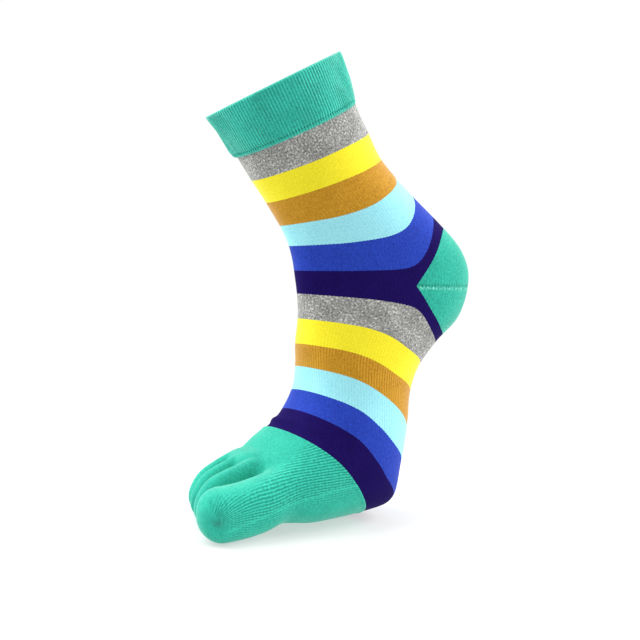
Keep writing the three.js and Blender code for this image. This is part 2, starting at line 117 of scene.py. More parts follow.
# Stripes from the cuff down: colour, and width as a share of STRIPE_WIDTH
LEG_STRIPES = [("grey", 1.0), ("yellow", 1.09), ("ochre", 1.09), ("sky", 1.03), ("blue", 0.98)]
FOOT_STRIPES = [
    ("grey", 1.01), ("yellow", 1.01), ("ochre", 0.99), ("sky", 0.96), ("blue", 0.97), ("navy", 0.85),
]
ANKLE_START = CUFF_HEIGHT + STRIPE_WIDTH * sum(share for _, share in LEG_STRIPES)
GORE_COURSE = ANKLE_START + STRIPE_WIDTH / 2
FOOT_START = ANKLE_START + STRIPE_WIDTH
TOE_SECTION_START = FOOT_START + STRIPE_WIDTH * sum(share for _, share in FOOT_STRIPES)
KNIT_LENGTH = TOE_SECTION_START + TOE_SECTION_LENGTH

# The knit itself
WALES = 120  # columns of stitches round the sock
POINTS_PER_WALE = 5
COURSE = 1.45  # height of a row of stitches
RIB_RELIEF = 0.03  # how far a wale stands over the groove beside it
TOOTH = 0.24  # zigzag of a colour change, which follows the stitches
HAIRLINE = 0.03  # clearance between neighbouring stripes
WALE = np.linspace(0, WALES, WALES * POINTS_PER_WALE + 1)
STRIPE_ROWS, ANKLE_ROWS, HEEL_ROWS = 13, 9, 45  # rows of points down a stripe, half the ankle band, the heel
FULL_TURN = np.linspace(0, 360, 1441)  # degrees round the form, fine enough to measure it by


def ring_values(distance):
    """Every column of the ring table at distances down the knit. Each is a cubic through the
    rows, whose slope at a row is the mean of its neighbours' slopes weighted by their spans."""
    slopes = np.diff(RINGS, axis=0) / np.diff(RINGS[:, 0])[:, None]
    spans = np.diff(RINGS[:, 0])[:, None]
    inner = (slopes[:-1] * spans[1:] + slopes[1:] * spans[:-1]) / (spans[:-1] + spans[1:])
    tangents = np.vstack([slopes[:1], inner, slopes[-1:]])
    at = np.clip(np.asarray(distance, float) / KNIT_LENGTH, 0, 1)
    row = np.clip(np.searchsorted(RINGS[:, 0], at, side="right") - 1, 0, len(RINGS) - 2)
    span = (RINGS[row + 1, 0] - RINGS[row, 0])[..., None]
    t = (at - RINGS[row, 0])[..., None] / span
    return (
        (2 * t**3 - 3 * t**2 + 1) * RINGS[row]
        + (t**3 - 2 * t**2 + t) * span * tangents[row]
        + (3 * t**2 - 2 * t**3) * RINGS[row + 1]
        + (t**3 - t**2) * span * tangents[row + 1]
    )


def ring_frame(distance):
    """The tilted ring at distances down the knit: its centre, three axes, sizes and section.
    Forward runs from the back point to the front one, then turns by roll about X and yaw about Z."""
    _, fx, fz, bx, bz, half, side, roll, yaw, egg, square = np.moveaxis(ring_values(distance), -1, 0)
    nothing = np.zeros_like(fx)
    front = np.stack([fx * SOCK_DEPTH, nothing, fz * SOCK_HEIGHT], -1)
    back = np.stack([bx * SOCK_DEPTH, nothing, bz * SOCK_HEIGHT], -1)
    depth = np.linalg.norm(front - back, axis=-1) / 2
    flat = (front - back) / (2 * depth[..., None])
    roll, yaw = np.radians(roll), np.radians(yaw)

    def turned(x, y, z):
        y, z = y * np.cos(roll) - z * np.sin(roll), y * np.sin(roll) + z * np.cos(roll)
        return np.stack([x * np.cos(yaw) - y * np.sin(yaw), x * np.sin(yaw) + y * np.cos(yaw), z], -1)

    forward = turned(flat[..., 0], flat[..., 1], flat[..., 2])
    sideways = turned(nothing, nothing - 1, nothing)
    centre = (front + back) / 2
    centre[..., 1] = side * LEG_WIDTH
    return centre, forward, sideways, np.cross(sideways, forward), depth, half * LEG_WIDTH, egg, square


def signed_power(value, power):
    """A power of the value's size, with the value's sign."""
    return np.sign(value) * np.abs(value) ** power


def form_point(distance, angle, inset=0.0, shrink=1.0, advance=0.0):
    """Points of the worn form. Round each ring a point lies at the signed powers of the cosine
    and sine of its angle (0 front, 90 big-toe side, 180 back), with the section's half sizes
    less the inset, times shrink; advance moves it along the ring's axis."""
    distance, angle = np.broadcast_arrays(distance, angle)
    centre, forward, sideways, along, depth, half, egg, square = ring_frame(distance)
    turn = np.radians(angle)
    cosine = signed_power(np.cos(turn), 2 / square)
    sine = signed_power(np.sin(turn), 2 / square)
    ahead = (depth - inset) * cosine * shrink
    across = (half - inset) * sine * (1 - egg * cosine) * shrink
    advance = np.broadcast_to(advance, distance.shape)
    ring_point = centre + forward * ahead[..., None] + sideways * across[..., None]
    return ring_point + along * advance[..., None]


# Slip of the worn courses down the form: share of the knit's length, then millimetres in front of
# the ankle and behind it, from the fit named at the heel pocket
SLIP = np.array([
    (0.132, 0, 0), (0.194, 0.85, -0.3), (0.265, 0, -0.2), (0.335, -0.5, 1.2), (0.401, -2.2, -0.3),
    (0.464, -0.3, -0.5), (0.496, 0, 0), (0.528, -1.0, -1.8), (0.593, -1.4, -2.5), (0.658, -1.0, -2.0),
    (0.721, -1.3, 0.4), (0.783, -1.55, -1.4), (0.845, -3.5, -1.4), (0.899, -0.6, -0.9), (1.0, 0, 0),
])
FRONT_SLIP_END, FRONT_SLIP_FADE = 109, 45  # degrees from the front where it is gone, and of its fading
REAR_SLIP_START, REAR_SLIP_FADE = 100, 40  # degrees from the front where it starts, and of its growing


def ease(value):
    """Smooth step from 0 to 1: three squares less two cubes."""
    value = np.clip(value, 0, 1)
    return value * value * (3 - 2 * value)


def course_distance(course, angle, below):
    """How far down the form a course lies at an angle. Near the heel's corners it follows the
    pocket's edge, 1 less a power of the distance from the back, with a corner that a soft
    minimum rounds, though not on the gore line itself; far off it follows a cosine. The slip of
    the worn courses is added."""
    bend = FOOT_BEND if below else LEG_BEND
    from_back = np.abs(angle - 180)
    away = np.abs(course - GORE_COURSE)
    sharp = 1 / (CORNER_SOFTNESS + bend["round"] * away)
    corner = from_back / (180 - HEEL_CORNER - bend["later"] * np.minimum(away / LATER_WITHIN, 1))
    soft = -np.logaddexp(-sharp * corner, -sharp) / sharp
    near = 1 - np.where(away < 0.01, np.minimum(corner, 1), np.clip(soft, 0, 1)) ** bend["power"]
    far = 0.5 + 0.5 * np.cos(np.pi * np.minimum(from_back / bend["spread"], 1))
    blend = np.minimum(away / bend["blend"], 1)
    share = (near * (1 - blend) + far * blend) * np.maximum(1 - away / bend["reach"], 0) ** bend["fade"]
    from_front = 180 - from_back
    at = course / KNIT_LENGTH
    front = np.interp(at, SLIP[:, 0], SLIP[:, 1]) * ease((FRONT_SLIP_END - from_front) / FRONT_SLIP_FADE)
    rear = np.interp(at, SLIP[:, 0], SLIP[:, 2]) * ease((from_front - REAR_SLIP_START) / REAR_SLIP_FADE)
    return course + front + rear + (HEEL_DROP * share if below else -HEEL_RISE * share)


def bell(value, middle, width):
    """A smooth hump of height 1: the exponential of minus the squared distance over the width."""
    return np.exp(-(((value - middle) / width) ** 2))


# Slow waves of the worn knit: height, waves round it, millimetres down it to a radian, and start
WAVES = [(0.10, 3, 17, 0.0), (0.08, 5, -11, 1.3), (0.05, 9, 7, 0.4)]

# Places where the worn knit stands off the form, or lies flatter with a minus: height, then middle
# and width down the knit, then middle and width in degrees round it
FRONT_PLACES = {
    "fold over the toes": (1.5, TOE_SECTION_START - 8.5, 2.3, -18, 38),
    "dip under the fold": (-0.7, TOE_SECTION_START - 3.5, 2.2, -18, 38),
    "front of the ankle": (-1.7, 143, 16, -15, 45),
    "top of the foot": (-2.2, TOE_SECTION_START + 15, 9, -20, 50),
}
REAR_PLACES = {
    "calf": (-2.3, 80, 15, 160, 38),
    "heel": (-1.4, 146, 8, 160, 30),
    "sole under the toes' roots": (-1.3, TOE_SECTION_START + 13, 11, 155, 28),
    "ball": (3.4, TOE_SECTION_START - 6, 7, 155, 28),
    "hollow behind the ball": (-1.8, TOE_SECTION_START - 21, 10, 155, 28),
}


def slack(distance, angle):
    """How far the worn knit stands off the ideal form: the sum of slow sine waves and, at each
    listed place, of its height times a bell down the knit and a bell round it."""
    turn = np.radians(angle)
    from_front = (angle + 180) % 360 - 180
    stand = sum(height * np.sin(waves * turn + distance / run + start) for height, waves, run, start in WAVES)
    for places, around in ((FRONT_PLACES, from_front), (REAR_PLACES, angle)):
        for height, middle, width, middle_angle, spread in places.values():
            stand = stand + height * bell(distance, middle, width) * bell(around, middle_angle, spread)
    return stand


def rib_relief(wale):
    """Height of the knit's ribs: a power of the cosine of half a turn a wale, so that grooves are
    narrow, less a share that keeps the skin on the form."""
    return RIB_RELIEF * (np.abs(np.cos(np.pi * wale)) ** 0.8 - 0.6)


def angles_at(shares, distance):
    """Degrees round the form at shares of the length round the ring that lies at a distance down."""
    ring = form_point(np.full(FULL_TURN.shape, distance), FULL_TURN)
    length = np.concatenate([[0], np.cumsum(np.linalg.norm(np.diff(ring, axis=0), axis=1))])
    return np.interp(shares * length[-1], length, FULL_TURN)


def wale_angles(courses):
    """Degrees round the form of every column of points, at even lengths along each course's ring."""
    return np.array([angles_at(WALE / WALES, course) for course in courses])


def zigzag(wale):
    """How far down a change of colour lies: a tent over each wale."""
    return TOOTH * (np.abs(2 * (wale % 1) - 1) - 0.5)


def stitch_counts(wale, distance):
    """Stitches counted round the sock and down it."""
    return np.stack([np.broadcast_to(wale, distance.shape), distance / COURSE], -1)


def knit_grid(courses, below, teeth=1.0):
    """Points and stitch counts of a plain stretch of knit between two courses. Each point lies on
    its course, moved down by the zigzag and outwards by ribs and slack."""
    angle = wale_angles(courses)
    course = np.broadcast_to(np.asarray(courses)[:, None], angle.shape)
    teeth = np.broadcast_to(teeth, course.shape[:1])[:, None]
    distance = course_distance(course, angle, below) + zigzag(WALE) * teeth
    points = form_point(distance, angle, -rib_relief(WALE) - slack(distance, angle))
    return points, stitch_counts(WALE, distance)


def grid_corners(rows, columns):
    """The first point of every face of a grid whose points are counted row by row."""
    return (np.arange(rows - 1)[:, None] * columns + np.arange(columns - 1)).ravel()


def mesh_of(name, patches, merge=0.002):
    """An object from grids of points in millimetres. Every face runs down the sock and then
    round it, so that it points outwards; points closer than the merge distance are joined."""
    vertices, stitches, quads, start = [], [], [], 0
    for points, counts in patches:
        rows, columns = points.shape[:2]
        corner = start + grid_corners(rows, columns)
        quads.append(np.stack([corner, corner + columns, corner + columns + 1, corner + 1], 1))
        vertices.append(points.reshape(-1, 3) * MM)
        stitches.append(counts.reshape(-1, 2))
        start += rows * columns
    vertices, stitches, quads = np.vstack(vertices), np.vstack(stitches), np.vstack(quads)
    mesh = bpy.data.meshes.new(name)
    mesh.from_pydata(vertices.tolist(), [], quads.tolist())
    layer = mesh.uv_layers.new(name="knit")
    layer.data.foreach_set("uv", stitches[quads.ravel()].astype(np.float32).ravel())
    bm = bmesh.new()
    bm.from_mesh(mesh)
    bmesh.ops.remove_doubles(bm, verts=bm.verts, dist=merge * MM)
    bmesh.ops.dissolve_degenerate(bm, edges=bm.edges, dist=merge * MM / 2)
    bm.to_mesh(mesh)
    bm.free()
    obj = bpy.data.objects.new(name, mesh)
    bpy.context.scene.collection.objects.link(obj)
    return obj


def apply_modifiers(obj):
    """Puts the result of the object's modifiers into its mesh."""
    graph = bpy.context.evaluated_depsgraph_get()
    mesh = bpy.data.meshes.new_from_object(obj.evaluated_get(graph))
    obj.modifiers.clear()
    obj.data = mesh


def give_thickness(obj):
    """Turns an open skin of knit into a wall, inwards from the skin."""
    wall = obj.modifiers.new("wall", "SOLIDIFY")
    wall.thickness = WALL * MM
    wall.offset = -1
    apply_modifiers(obj)


RIM_ANGLE = 55  # degrees past which an edge stays crisp


def dress(obj, material, slot, *nodes):
    """Shades a finished piece smooth with crisp rims and puts it in the frame."""
    obj.data.shade_smooth()
    obj.data.set_sharp_from_angle(angle=np.radians(RIM_ANGLE))
    obj.data.materials.clear()
    obj.data.materials.append(material)
    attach(obj, "root")
    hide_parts(*nodes)
    return obj


# Materials


class Value:
    """A number or colour in a material. Arithmetic on it adds Math nodes."""

    def __init__(self, finish, socket):
        self.finish, self.socket = finish, socket

    def out(self, key):
        """Another output of the same node."""
        return Value(self.finish, self.socket.node.outputs[key])

    def math(self, operation, *others, clamp=False):
        values = dict(enumerate((self, *others)))
        return self.finish.node("ShaderNodeMath", {"operation": operation, "use_clamp": clamp}, values)

    def clamped(self):
        """The value held between 0 and 1."""
        return self.math("ADD", 0.0, clamp=True)

    def __add__(self, other):
        return self.math("ADD", other)

    def __mul__(self, other):
        return self.math("MULTIPLY", other)

    def __sub__(self, other):
        return self.math("SUBTRACT", other)

    def __rsub__(self, other):
        return self.finish.node("ShaderNodeMath", {"operation": "SUBTRACT"}, {0: other, 1: self})

    def __truediv__(self, other):
        return self.math("DIVIDE", other)

    def __abs__(self):
        return self.math("ABSOLUTE")

    __radd__ = __add__
    __rmul__ = __mul__


class Finish:
    """One material under construction."""

    def __init__(self, name):
        self.material = bpy.data.materials.new(name)
        self.material.use_nodes = True
        self.tree = self.material.node_tree
        self.tree.nodes.clear()

    def node(self, kind, settings=None, inputs=None, output=0):
        """Adds a node, with its settings first and then the values or links of its sockets."""
        node = self.tree.nodes.new(kind)
        for key, value in (settings or {}).items():
            setattr(node, key, value)
        for key, value in (inputs or {}).items():
            if isinstance(value, Value):
                self.tree.links.new(value.socket, node.inputs[key])
            else:
                node.inputs[key].default_value = value
        return Value(self, node.outputs[output]) if len(node.outputs) else None

    def mix(self, share, low, high):
        """Goes over from one colour to another by a share."""
        settings = {"data_type": "RGBA", "clamp_factor": True}
        return self.node("ShaderNodeMix", settings, {0: share, 6: low, 7: high}, output=2)


def linear(red, green, blue):
    """A screen colour of 0 to 255 as the linear colour that a shader takes."""
    screen = np.array([red, green, blue]) / 255
    value = np.where(screen <= 0.04045, screen / 12.92, ((screen + 0.055) / 1.055) ** 2.4)
    return (*(float(v) for v in value), 1.0)


# Patterns of the yarns
FIBRES, CLOUDS = 650.0, 70.0  # fineness of the fibres and of the soft patches
STREAKS_ROUND, STREAKS_DOWN = 1.7, 1.2  # fineness of the streaks by wales and by courses
STITCH_LEAN = 0.9  # how far the edges of a stitch's V are set back
FOOT_START_ROW, FOOT_FADE_ROWS = 88, 20  # where a foot stripe's wales start to show as painted shade, and how slowly
HEATHER_CONTRAST, HEATHER_GRAIN = 5.0, 2.4  # strength of a heather's streaks and of its fibres
# Painted shade in the heel's worked holes, and the colour of the light thread under them
HOLE_SHADE_COLOR, THREAD_COLOR = linear(14, 96, 84), linear(150, 226, 208)


def heathered(finish, color, light, dark, streak, fibre, cloud):
    """Light fibres where the streaks run high and dark ones where they run low, both made
    uneven by the finer patterns."""
    high = ((streak - 0.55) * HEATHER_CONTRAST + (fibre + cloud - 1.0) * HEATHER_GRAIN).clamped()
    low = ((0.48 - streak) * HEATHER_CONTRAST + (fibre - cloud) * HEATHER_GRAIN).clamped()
    return finish.mix(low * 0.75, finish.mix(high * 0.85, color, light), dark)


def seamed(finish, color, beside, ridge, streak):
    """A seam of worked holes, given the courses beside its line: a tent of painted shade just
    over the line, on each wale, which darkens the holes, and a tent of light thread under it, which
    the streaks break up."""
    hole = (1.0 - abs(beside + 0.35) * 1.6).math("MAXIMUM", 0.0)
    thread = (1.0 - abs(beside - 0.5) * 1.3).math("MAXIMUM", 0.0) * (streak * 4.5 - 1.9)
    # Painted shade in the holes, strongest on the wales' ridges
    color = finish.mix((hole * ridge * 0.55).clamped(), color, HOLE_SHADE_COLOR)
    return finish.mix((thread * 0.6).clamped(), color, THREAD_COLOR)


def yarn(
    name, deep, lit, relief=0.08, wales=0.08, foot_wales=0.0, mottle=1.2, heather=None,
    sheen=0.25, shine=0.15, ribbed=False, seam=None,
):
    """Knitted yarn. A stitch is a V: its height is the cosine down the courses, set back by the
    distance from the wale's middle, times the cosine across the wale. The wales show in patches as
    painted shade, darker towards the deep colour in the grooves and lighter towards the lit one on
    the ridges; clouds, fibres and streaks make the tone uneven. Ribbed yarn shows them, with painted
    shade in its ribs' grooves, and a light join, where the mesh's own attributes say so."""
    finish = Finish(name)
    knit = finish.node("ShaderNodeUVMap", {"uv_map": "knit"})
    split = finish.node("ShaderNodeSeparateXYZ", {}, {0: knit})
    wale, course = split.out(0), split.out(1)
    across = abs((wale + 0.5).math("FRACT") - 0.5)
    ridge = abs((wale * np.pi).math("COSINE"))
    strand = ((course + across * STITCH_LEAN) * (2 * np.pi)).math("COSINE") * 0.5 + 0.5
    height = ridge * (0.8 + 0.2 * strand)
    place = finish.node("ShaderNodeTexCoord", {}, {}, "Object")
    fibre = finish.node("ShaderNodeTexNoise", {}, {"Vector": place, "Scale": FIBRES, "Detail": 3.0}, "Fac")
    cloud = finish.node("ShaderNodeTexNoise", {}, {"Vector": place, "Scale": CLOUDS, "Detail": 3.0}, "Fac")
    drawn = finish.node("ShaderNodeCombineXYZ", {}, {0: wale * STREAKS_ROUND, 1: course * STREAKS_DOWN})
    streak = finish.node("ShaderNodeTexNoise", {"noise_dimensions": "2D"}, {
        "Vector": drawn, "Scale": 1.0, "Detail": 2.0, "Roughness": 0.5,
    }, "Fac")
    patch = (cloud * 3.2 - 1.1).clamped()
    if foot_wales:
        wales = ((course - FOOT_START_ROW) / FOOT_FADE_ROWS).clamped() * foot_wales + wales
    # Painted shade: stitch ridges lighter and grooves darker, in patches; clouds, fibres and streaks add
    # uneven tone
    tone = 0.5 + (height - 0.55) * patch * wales + (cloud - 0.5) * 0.5 + (fibre + streak - 1.0) * mottle
    if ribbed:
        mask = finish.node("ShaderNodeAttribute", {"attribute_name": "ribbing"}, {}, "Fac")
        join = finish.node("ShaderNodeAttribute", {"attribute_name": "join"}, {}, "Fac")
        # Painted shade in the ribs' grooves and light on their ridges, made uneven by the streaks, as strong
        # as the ribbing attribute says
        ribs = (ridge - 0.62) * 1.5 + (strand - 0.5) * 0.3 + (streak - 0.5) * 1.6
        tone = tone + join * (streak * 2.4 - 0.5) + ribs * mask
        height = height * (mask + 0.12)
    color = finish.mix(tone.clamped(), deep, lit)
    if heather:
        color = heathered(finish, color, *heather, streak, fibre, cloud)
    if seam:
        color = seamed(finish, color, course - seam, ridge, streak)
    bump = finish.node("ShaderNodeBump", {}, {
        "Strength": 0.7, "Distance": relief * MM, "Height": height + fibre * 0.25,
    })
    shader = finish.node("ShaderNodeBsdfPrincipled", {}, {
        "Base Color": color, "Normal": bump, "Roughness": 0.9, "Specular IOR Level": shine,
        "Sheen Weight": sheen, "Sheen Roughness": 0.4,
        "Sheen Tint": (*(0.6 + 0.4 * part for part in lit[:3]), 1.0),
    })
    finish.node("ShaderNodeOutputMaterial", {}, {"Surface": shader})
    return finish.material


# Each yarn's deep and lit colour, the ends of its painted shade from groove to ridge and of its uneven tone,
# and how its fibres and its stitches show
YARNS = {
    "grey": yarn(
        "grey heather yarn", linear(136, 136, 133), linear(160, 160, 157),
        heather=(linear(214, 212, 207), linear(92, 92, 90)), sheen=0.3,
    ),
    "yellow": yarn("yellow yarn", linear(232, 217, 34), linear(249, 236, 50), foot_wales=0.6, sheen=0.4),
    "ochre": yarn(
        "ochre yarn", linear(168, 116, 20), linear(208, 154, 45), wales=0.2, foot_wales=1.1, sheen=0.45,
    ),
    "sky": yarn("sky blue yarn", linear(140, 214, 225), linear(166, 234, 244), foot_wales=0.8, sheen=0.45),
    "blue": yarn("blue yarn", linear(29, 51, 153), linear(42, 74, 192), sheen=0.14),
    "navy": yarn("navy yarn", linear(19, 9, 66), linear(34, 18, 96), mottle=0.8, sheen=0.03, shine=0.03),
}
# The cuff's yarn paints strong shade into the grooves between its ribs, over their relief
TEAL_CUFF = yarn(
    "teal cuff yarn", linear(31, 142, 125), linear(61, 200, 178),
    relief=0.2, wales=1.1, mottle=0.9, sheen=0.7,
)
TEAL_HEEL = yarn(
    "teal heel yarn", linear(26, 146, 126), linear(50, 188, 163),
    sheen=0.35, seam=GORE_COURSE / COURSE,
)
TEAL_TOES = yarn(
    "teal toe yarn", linear(31, 152, 131), linear(58, 201, 174),
    relief=0.5, mottle=0.8, sheen=0.45, ribbed=True,
)


# Stripes, ankle band and heel pocket


def stripe(name, color, start, end, below, last_teeth=1.0):
    """A plain stripe of the leg or the foot. The zigzag of its last rows can be made lower."""
    courses = np.linspace(start + HAIRLINE / 2, end - HAIRLINE / 2, STRIPE_ROWS)
    teeth = np.ones(STRIPE_ROWS)
    teeth[-3:] = np.linspace(1, last_teeth, 3)
    obj = mesh_of(f"knit_{name}", [knit_grid(courses, below, teeth)])
    give_thickness(obj)
    return dress(obj, YARNS[color], f"{color}_yarn", name)


def stripes(place, bands, start):
    """A run of plain stripes. The last of the foot ends in a plain edge on the toe section."""
    for number, (color, share) in enumerate(bands):
        end = start + share * STRIPE_WIDTH
        below = place == "foot"
        last_teeth = 0.0 if below and number == len(bands) - 1 else 1.0
        stripe(f"{place}_band_{color}", color, start, end, below, last_teeth)
        start = end


def ankle_band():
    """The navy ankle band: whole in front, with two arms round the heel pocket behind. Its two
    grids share their points on the gore line as far as the pocket's corners."""
    upper = knit_grid(np.linspace(ANKLE_START + HAIRLINE / 2, GORE_COURSE, ANKLE_ROWS), False)
    lower = knit_grid(np.linspace(GORE_COURSE, FOOT_START - HAIRLINE / 2, ANKLE_ROWS), True)
    obj = mesh_of("knit_ankle_band", [upper, lower])
    give_thickness(obj)
    return dress(obj, YARNS["navy"], "navy_yarn", "ankle_band_navy")


CORNER_GAP = 0.4  # degrees that the heel pocket stays off its corners
GORE_WIDTH, GORE_DEPTH = 0.8, 0.8  # the line of worked holes across the heel


def heel_pocket():
    """The lens-shaped heel pocket. Its rows run straight from the pocket's upper edge to its
    lower one, and a shallow line of worked holes, a bell across the gore line and the sine of
    half a turn a wale along it, crosses it from corner to corner."""
    angle = wale_angles([GORE_COURSE])
    first = HEEL_CORNER + CORNER_GAP
    inside = (angle[0] > first) & (angle[0] < 360 - first)
    angle, wale = angle[:, inside], WALE[inside]
    top = course_distance(GORE_COURSE, angle, False) + HAIRLINE + zigzag(wale)
    bottom = course_distance(GORE_COURSE, angle, True) - HAIRLINE + zigzag(wale)
    down = np.linspace(0, 1, HEEL_ROWS)[:, None]
    distance = top + (bottom - top) * down
    gore = bell(distance, GORE_COURSE, GORE_WIDTH) * (0.25 + 0.5 * np.abs(np.sin(np.pi * wale)))
    relief = rib_relief(wale) * 0.5 + slack(distance, angle) - gore * GORE_DEPTH
    points = form_point(distance, np.broadcast_to(angle, distance.shape), -relief)
    obj = mesh_of("knit_heel_pocket", [(points, stitch_counts(wale, distance))])
    give_thickness(obj)
    return dress(obj, TEAL_HEEL, "teal_yarn", "heel_pocket")


# Cuff

CUFF_RIBS = 140
POINTS_PER_RIB = 8
CUFF_RIB_RELIEF = 0.45
CUFF_ROW = 1.3  # height of a row of stitches
MOUTH_DEPTH, MOUTH_INSET, MOUTH_RIBS = 1.1, 0.45, 0.6  # the rounded mouth, and its share of ribs
FIRST_PROUD, PROUD_LENGTH = 0.2, 26  # share of CUFF_PROUD at the mouth, and where it is whole
HOLE_COURSE, HOLE_WIDTH, HOLE_DEPTH = 31.4, 0.55, 0.9  # row of worked holes over the hem
HEM_START = 28.6  # where the cuff starts to round in to its hem
ROLL_COURSE, ROLL_HEIGHT = HOLE_COURSE + 1.5, 0.3  # the hem's roll
FLARE_HEIGHT, FLARE_LENGTH = 1.7, 12  # how far the mouth opens in front
FLARE_ANGLE, FLARE_SPREAD = -24, 22
DRAWN_IN, DRAWN_FROM, DRAWN_LENGTH = 1.3, 18, 14  # how far the hem is drawn in at the back
DRAWN_ANGLE, DRAWN_SPREAD = 155, 35


def cuff_profile():
    """The cuff's closed profile: distances down, insets and shares of the ribs' relief. A half
    circle is the mouth. The outer skin grows proud by a power and rounds in to the hem as a
    quarter of an ellipse, and the inner skin runs straight back."""
    turn = np.radians(np.linspace(-90, 90, 9))
    mouth = [
        MOUTH_DEPTH - MOUTH_DEPTH * np.cos(turn),
        MOUTH_INSET - np.sin(turn),
        np.maximum(np.sin(turn), 0) * MOUTH_RIBS,
    ]
    place = np.concatenate([np.linspace(2.5, HEM_START, 18), np.linspace(HEM_START + 0.4, CUFF_HEIGHT, 16)])
    tuck = np.sqrt(1 - (np.maximum(place - HEM_START, 0) / (CUFF_HEIGHT + 0.3 - HEM_START)) ** 2)
    growth = FIRST_PROUD + (1 - FIRST_PROUD) * np.minimum((place - 1) / PROUD_LENGTH, 1) ** 0.8
    proud = CUFF_PROUD * growth
    ribs = np.minimum(MOUTH_RIBS + (place - 1) / 4, 1)
    outside = [place, 0.2 - (proud + 0.2) * tuck, ribs * tuck]
    back = np.linspace(CUFF_HEIGHT - 0.3, 1.0, 12)
    inside = [back, np.full(back.shape, WALL), np.zeros(back.shape)]
    profile = np.hstack([mouth, outside, inside])
    return np.hstack([profile, profile[:, :1]])


def cuff():
    """The double cuff: its profile carried round the leg. Ribs are a power of the cosine of half
    a turn a rib, made uneven by two slow waves. A bell down the cuff, deeper in the grooves,
    makes the row of holes, and another one the hem's roll."""
    rib = np.linspace(0, CUFF_RIBS, CUFF_RIBS * POINTS_PER_RIB + 1)
    distance, inset, ribbing = cuff_profile()[..., None]
    angle = angles_at(rib / CUFF_RIBS, CUFF_HEIGHT / 2)[None, :]
    from_front = (angle + 180) % 360 - 180
    outside = ribbing > 0.2
    ridge = np.abs(np.cos(np.pi * rib)) ** 0.9 - 0.5
    uneven = 0.75 + 0.3 * np.sin(rib * 0.37 + distance / 9) + 0.25 * np.sin(rib * 0.83 - distance / 5 + 1)
    hole = bell(distance, HOLE_COURSE, HOLE_WIDTH) * outside * (0.35 + (0.5 - ridge))
    roll = bell(distance, ROLL_COURSE, 1.0) * outside * ROLL_HEIGHT
    flare = FLARE_HEIGHT * bell(from_front, FLARE_ANGLE, FLARE_SPREAD)
    flare = flare * np.clip(1 - distance / FLARE_LENGTH, 0, 1)
    drawn_in = -DRAWN_IN * bell(angle, DRAWN_ANGLE, DRAWN_SPREAD)
    drawn_in = drawn_in * ease((distance - DRAWN_FROM) / DRAWN_LENGTH)
    relief = CUFF_RIB_RELIEF * ridge * uneven * ribbing - hole * HOLE_DEPTH + roll
    relief = relief + (slack(distance, angle) + flare + drawn_in) * (ribbing > 0)
    points = form_point(distance + 0 * angle, angle + 0 * distance, inset - relief)
    stitches = np.stack(np.broadcast_arrays(rib, distance / CUFF_ROW), -1)
    obj = mesh_of("knit_cuff", [(points, stitches)])
    return dress(obj, TEAL_CUFF, "teal_yarn", "cuff")


# Toe section: the ball of the foot and the five toes, knitted as one

BALL_START = 12  # how far the ball reaches back under the last stripe, before it is trimmed


def closed_grid(rows):
    """A grid of rings as a closed form, with each end drawn together at its middle."""
    ends = [np.broadcast_to(row[:-1].mean(0), row.shape) for row in (rows[0], rows[-1])]
    points = np.concatenate([ends[0][None], rows, ends[1][None]])
    return points, np.zeros((*points.shape[:2], 2))


def ball_grid():
    """The ball of the foot: the form's rings, then a shallow dome past the last of them."""
    angle = np.linspace(0, 360, 241)
    courses = np.linspace(TOE_SECTION_START - BALL_START, KNIT_LENGTH, 50)[:, None]
    distance = course_distance(courses, angle, True)
    rings = form_point(distance, angle, -slack(distance, angle))
    rise = np.radians(np.linspace(0, 86, 12)[1:])[:, None]
    settled = -slack(np.full(angle.shape, KNIT_LENGTH), angle)
    last = np.full((len(rise), 1), KNIT_LENGTH)
    nose = form_point(last, angle, settled, np.cos(rise), BALL_NOSE * np.sin(rise))
    return closed_grid(np.concatenate([rings, nose]))


def toe_grid(name):
    """One toe from inside the ball to its tip. Its top is a parabola through three heights, its
    sole lifts by a square between ball and pad, and its section, of signed powers of cosine and
    sine, shrinks as a circle does over the nose."""
    root_side, tip_side, half, tip_x, root_top, mid_top, tip_top, sole = TOES[name]
    body = np.linspace(0, 1 - TOE_NOSE, 40)
    nose = 1 - TOE_NOSE + TOE_NOSE * np.sin(np.radians(np.linspace(0, 88, 16)[1:]))
    t = np.concatenate([body, nose])[:, None]
    top = SOCK_HEIGHT * (
        root_top * (1 - t) * (1 - 2 * t) + mid_top * 4 * t * (1 - t) + tip_top * t * (2 * t - 1)
    )
    arch, root_scale = TOE_ROOTS.get(name, (TOE_ARCH, TOE_ROOT_SCALE))
    bottom = sole * SOCK_HEIGHT + arch * np.maximum(1 - t / TOE_PAD, 0) ** 2
    nosed = np.maximum(t - (1 - TOE_NOSE), 0) / TOE_NOSE
    scale = np.sqrt(1 - nosed**2) * (root_scale + (1 - root_scale) * ease(t / TOE_ROOT_END))
    turn = np.radians(np.linspace(0, 360, 97))
    x = SOCK_DEPTH * (TOE_ROOT_X + (tip_x - TOE_ROOT_X) * t)
    side = LEG_WIDTH * (root_side + (tip_side - root_side) * t)
    y = side - half * LEG_WIDTH * scale * signed_power(np.sin(turn), 2 / TOE_SQUARE)
    z = (top + bottom) / 2 + (top - bottom) / 2 * scale * signed_power(np.cos(turn), 2 / TOE_SQUARE)
    return closed_grid(np.stack(np.broadcast_arrays(x, y, z), -1))


# The webs, as one bar across the toes' roots: where its middle line starts beside the big toe, how
# far it runs, how far it reaches ahead and up, and how it sinks, lifts and gets squarer on the way
WEB_X, WEB_Y, WEB_Z = -19, -46, -267
WEB_RUN_X, WEB_RUN_Y = 5, 68
WEB_AHEAD, WEB_HIGH = 24, 16.5
WEB_SINK, WEB_LIFT, WEB_SQUARE = 9, 4, 0.45


